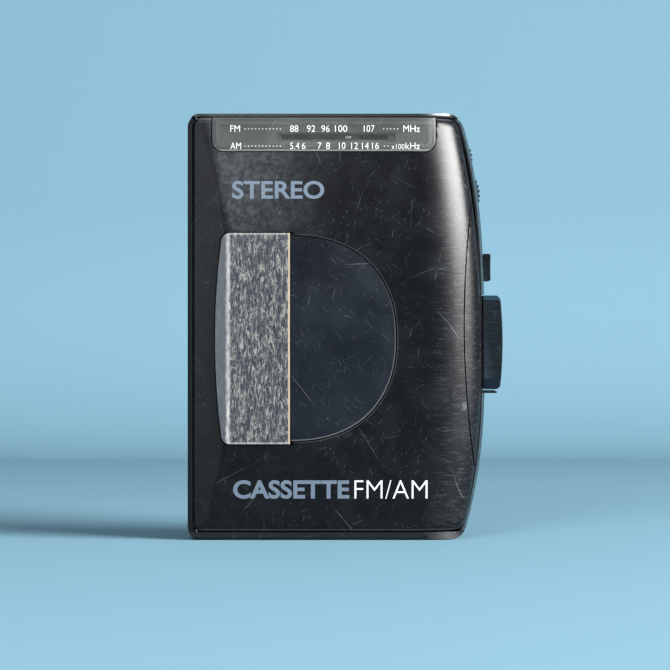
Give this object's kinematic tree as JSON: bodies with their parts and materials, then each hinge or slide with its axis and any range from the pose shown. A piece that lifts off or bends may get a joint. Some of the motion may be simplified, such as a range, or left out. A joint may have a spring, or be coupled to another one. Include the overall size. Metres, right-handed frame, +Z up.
{
  "type": "cassette player",
  "caption": "Portable radio cassette player with a hinged cassette lid and window, tuning dial, piano keys on one side, tape mechanism and battery bay",
  "frame": {"origin": "a point in the flat bottom face that the player stands on, midway across the housing and through its depth", "axes": "+Z up along the height, +X to the right seen from the front, the front with the window faces -Y"},
  "size_m": [0.0887, 0.0355, 0.119],
  "materials": {
    "housing": "black satin moulded plastic with fine scratches",
    "window": "dark smoked clear plastic",
    "band": "clear plastic, scuffed whitish",
    "dial": "grey translucent plastic",
    "pointer": "light grey plastic",
    "controls": "blue-black satin plastic",
    "inner_plastic": "black matt plastic",
    "white_plastic": "off-white acetal plastic",
    "steel": "plated steel",
    "brass": "turned brass and enamelled wire",
    "rubber": "matt black rubber",
    "board": "brown phenolic board",
    "ferrite": "dark grey ceramic"
  },
  "bodies": {
    "chassis": {"rear_housing": "housing", "key_panel": "housing", "lid_hinge_pin_top": "steel", "lid_hinge_pin_bottom": "steel", "dial_lens": "dial", "dial_scale": "inner_plastic", "dial_tray": "inner_plastic", "key_guide": "steel", "play_key_spring": "steel", "forward_key_spring": "steel", "stop_key_spring": "steel", "band_switch": "steel", "circuit_board": "board", "tuning_capacitor": "white_plastic", "volume_control": "steel", "ferrite_rod": "ferrite", "antenna_coil": "brass", "headphone_jack": "inner_plastic", "power_jack": "inner_plastic", "deck_plate": "steel", "capstan_bush": "brass", "motor": "steel", "drive_belt": "rubber", "battery_link": "steel", "battery_plus": "steel", "battery_minus": "steel", "battery_spring_link": "steel", "battery_spring_minus": "steel", "housing_screw_1": "steel", "housing_screw_2": "steel", "housing_screw_3": "steel", "housing_screw_4": "steel"},
    "lid": {"front_lid": "housing", "lid_window": "window", "window_band": "band", "cassette_spring_upper": "steel", "cassette_spring_lower": "steel"},
    "play": {"play_key": "controls"},
    "forward": {"forward_key": "controls"},
    "stop": {"stop_key": "controls"},
    "selector": {"selector_knob": "controls"},
    "tuning": {"tuning_wheel": "controls"},
    "volume": {"volume_wheel": "controls"},
    "pointer": {"dial_pointer": "pointer"},
    "head": {"head_plate": "steel", "tape_head": "steel"},
    "pinch": {"pinch_arm": "steel"},
    "roller": {"pinch_roller": "rubber"},
    "capstan_drive": {"flywheel": "brass", "capstan": "steel"},
    "pulley": {"motor_pulley": "brass"},
    "idler": {"idler_wheel": "rubber"},
    "takeup": {"takeup_spindle": "white_plastic"},
    "supply": {"supply_spindle": "white_plastic"},
    "cover": {"battery_cover": "housing"}
  },
  "joints": [
    {"name": "lid_hinge", "type": "hinge", "parent": "chassis", "child": "lid", "pos_m": [-0.0389, -0.01, 0.06], "axis": [0, 0, -1], "range_deg": [0, 80]},
    {"name": "play_key_slide", "type": "slide", "parent": "chassis", "child": "play", "axis": [-1, 0, 0], "range_m": [0, 0.003], "stiffness_N_per_m": 300, "deforming": ["play_key_spring"]},
    {"name": "forward_key_slide", "type": "slide", "parent": "chassis", "child": "forward", "axis": [-1, 0, 0], "range_m": [0, 0.003], "stiffness_N_per_m": 300, "deforming": ["forward_key_spring"]},
    {"name": "stop_key_slide", "type": "slide", "parent": "chassis", "child": "stop", "axis": [-1, 0, 0], "range_m": [0, 0.003], "stiffness_N_per_m": 300, "deforming": ["stop_key_spring"]},
    {"name": "selector_slide", "type": "slide", "parent": "chassis", "child": "selector", "axis": [0, 0, 1], "range_m": [-0.0025, 0.0025]},
    {"name": "tuning_turn", "type": "hinge", "parent": "chassis", "child": "tuning", "pos_m": [0.03, 0.0103, 0.0968], "axis": [0, 1, 0], "range_deg": [-170, 95]},
    {"name": "pointer_slide", "type": "slide", "parent": "chassis", "child": "pointer", "axis": [1, 0, 0], "range_m": [-0.0175, 0.0099]},
    {"name": "volume_turn", "type": "hinge", "parent": "chassis", "child": "volume", "pos_m": [0.03075, 0.0067, 0.107], "axis": [0, 1, 0], "range_deg": [-140, 140]},
    {"name": "head_slide", "type": "slide", "parent": "chassis", "child": "head", "axis": [-1, 0, 0], "range_m": [0, 0.003]},
    {"name": "pinch_swing", "type": "hinge", "parent": "chassis", "child": "pinch", "pos_m": [0.0322, -0.0045, 0.032], "axis": [0, 1, 0], "range_deg": [0, 8.6]},
    {"name": "roller_spin", "type": "hinge", "parent": "pinch", "child": "roller", "pos_m": [0.0302, -0.0086, 0.017], "axis": [0, 1, 0], "continuous": true},
    {"name": "capstan_spin", "type": "hinge", "parent": "chassis", "child": "capstan_drive", "pos_m": [0.0232, -0.001, 0.017], "axis": [0, 1, 0], "continuous": true},
    {"name": "pulley_spin", "type": "hinge", "parent": "chassis", "child": "pulley", "pos_m": [0.007, -0.001, 0.06], "axis": [0, 1, 0], "continuous": true},
    {"name": "idler_spin", "type": "hinge", "parent": "chassis", "child": "idler", "pos_m": [0.00637, -0.00055, 0.02582], "axis": [0, 1, 0], "continuous": true},
    {"name": "takeup_spin", "type": "hinge", "parent": "chassis", "child": "takeup", "pos_m": [-0.0078, -0.001, 0.03325], "axis": [0, 1, 0], "continuous": true},
    {"name": "supply_spin", "type": "hinge", "parent": "chassis", "child": "supply", "pos_m": [-0.0078, -0.001, 0.07575], "axis": [0, 1, 0], "continuous": true},
    {"name": "cover_hinge", "type": "hinge", "parent": "chassis", "child": "cover", "pos_m": [-0.0105, 0.01605, 0.03415], "axis": [1, 0, 0], "range_deg": [0, 85]}
  ],
  "couplings": [
    {"joint": "pointer_slide", "follows": "tuning_turn", "m_per_rad": 0.0058},
    {"joint": "head_slide", "follows": "play_key_slide", "ratio": 1},
    {"joint": "pinch_swing", "follows": "play_key_slide", "rad_per_m": 50},
    {"joint": "pulley_spin", "follows": "capstan_spin", "ratio": 3.6667},
    {"joint": "idler_spin", "follows": "capstan_spin", "ratio": -1.4286},
    {"joint": "takeup_spin", "follows": "capstan_spin", "ratio": 1.375}
  ]
}
